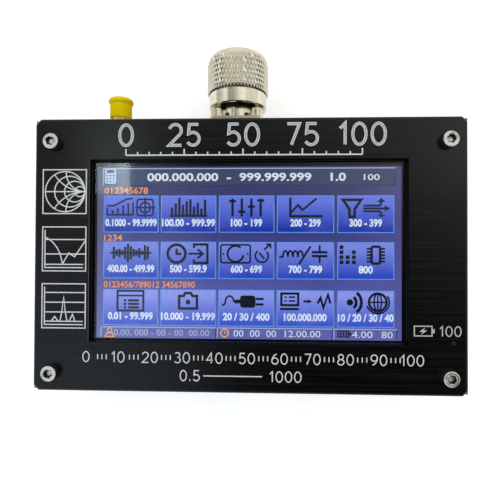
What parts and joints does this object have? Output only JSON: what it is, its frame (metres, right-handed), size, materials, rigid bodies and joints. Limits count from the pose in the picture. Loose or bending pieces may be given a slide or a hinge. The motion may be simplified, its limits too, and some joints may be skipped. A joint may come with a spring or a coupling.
{
  "type": "handheld antenna analyzer",
  "caption": "Flat handheld radio test instrument with a touch display in a black aluminium case, a coaxial plug with a turning nut and a capped coaxial jack on its top edge.",
  "frame": {"origin": "centre of the case's rear face, on the surface that the device lies on", "axes": "+X along the long side, to the right as the screen is read, +Y out of the top edge with the connectors, +Z out of the screen"},
  "size_m": [0.1375, 0.1076, 0.0297],
  "materials": {
    "black_panel": "black anodised, brushed along X",
    "black_frame": "black anodised, milled",
    "steel": "stainless steel",
    "black_steel": "black oxide",
    "gasket_foam": "closed-cell foam",
    "touch_glass": "polished",
    "display_metal": "tinned sheet",
    "display_cell": "lit display, glossy",
    "white_diffuser": "white moulded",
    "ribbon_film": "amber polyimide film",
    "chip_plastic": "moulded epoxy",
    "circuit_board": "solder mask",
    "brass_spacer": "turned",
    "battery_wrap": "foil pouch",
    "red_wire": "insulated",
    "black_wire": "insulated",
    "lamp_chip": "lit red",
    "lamp_rod": "clear red",
    "card_plastic": "moulded",
    "switch_plastic": "moulded",
    "rocker_plastic": "moulded",
    "nickel": "nickel plated brass",
    "spring_bronze": "spring temper",
    "white_insulator": "white fluoropolymer",
    "gold": "gold plated",
    "seal_rubber": "silicone",
    "yellow_cap": "soft vinyl",
    "copper_wire": "bare copper"
  },
  "bodies": {
    "root": {"front_panel": "black_panel", "rear_panel": "black_panel", "case_frame": "black_frame", "front_panel_screws": "steel", "board_screws": "steel", "rear_panel_screws": "black_steel", "display_gasket": "gasket_foam", "battery_pad": "gasket_foam", "touch_panel": "touch_glass", "lcd_bezel": "display_metal", "rf_shield": "display_metal", "charge_usb_socket": "display_metal", "data_usb_socket": "display_metal", "card_socket": "display_metal", "switch_terminals": "display_metal", "lcd_panel": "display_cell", "backlight": "white_diffuser", "battery_plug": "white_diffuser", "lcd_ribbon": "ribbon_film", "ribbon_socket": "chip_plastic", "processor": "chip_plastic", "memory_chip": "chip_plastic", "small_chips": "chip_plastic", "main_board": "circuit_board", "board_spacers": "brass_spacer", "battery_pack": "battery_wrap", "battery_lead_red": "red_wire", "battery_lead_black": "black_wire", "switch_leads": "black_wire", "charge_lamp_chip": "lamp_chip", "charge_lamp_rod": "lamp_rod", "switch_body": "switch_plastic", "n_body": "nickel", "n_flange_screws": "nickel", "n_snap_ring": "spring_bronze", "n_insulator": "white_insulator", "sma_insulator": "white_insulator", "n_center_pin": "gold", "sma_body": "gold", "sma_center_contact": "gold", "sma_lock_washer": "gold", "sma_nut": "gold", "signal_wires": "copper_wire"},
    "coupling_nut": {"n_coupling_nut": "nickel", "n_seal": "seal_rubber"},
    "dust_cap": {"sma_dust_cap": "yellow_cap"},
    "rocker": {"switch_rocker": "rocker_plastic"},
    "card": {"memory_card": "card_plastic"}
  },
  "joints": [
    {"name": "coupling_nut_turn", "type": "hinge", "parent": "root", "child": "coupling_nut", "pos_m": [-0.00395, 0.0538, 0.0135], "axis": [0, 1, 0], "continuous": true},
    {"name": "dust_cap_pull", "type": "slide", "parent": "root", "child": "dust_cap", "axis": [0, 1, 0], "range_m": [0, 0.012]},
    {"name": "power_rocker", "type": "hinge", "parent": "root", "child": "rocker", "pos_m": [0.0654, 0.008, 0.011], "axis": [0, 0, -1], "range_deg": [0, 20]},
    {"name": "memory_card_slide", "type": "slide", "parent": "root", "child": "card", "axis": [-1, 0, 0], "range_m": [-0.0006, 0.0105]}
  ]
}
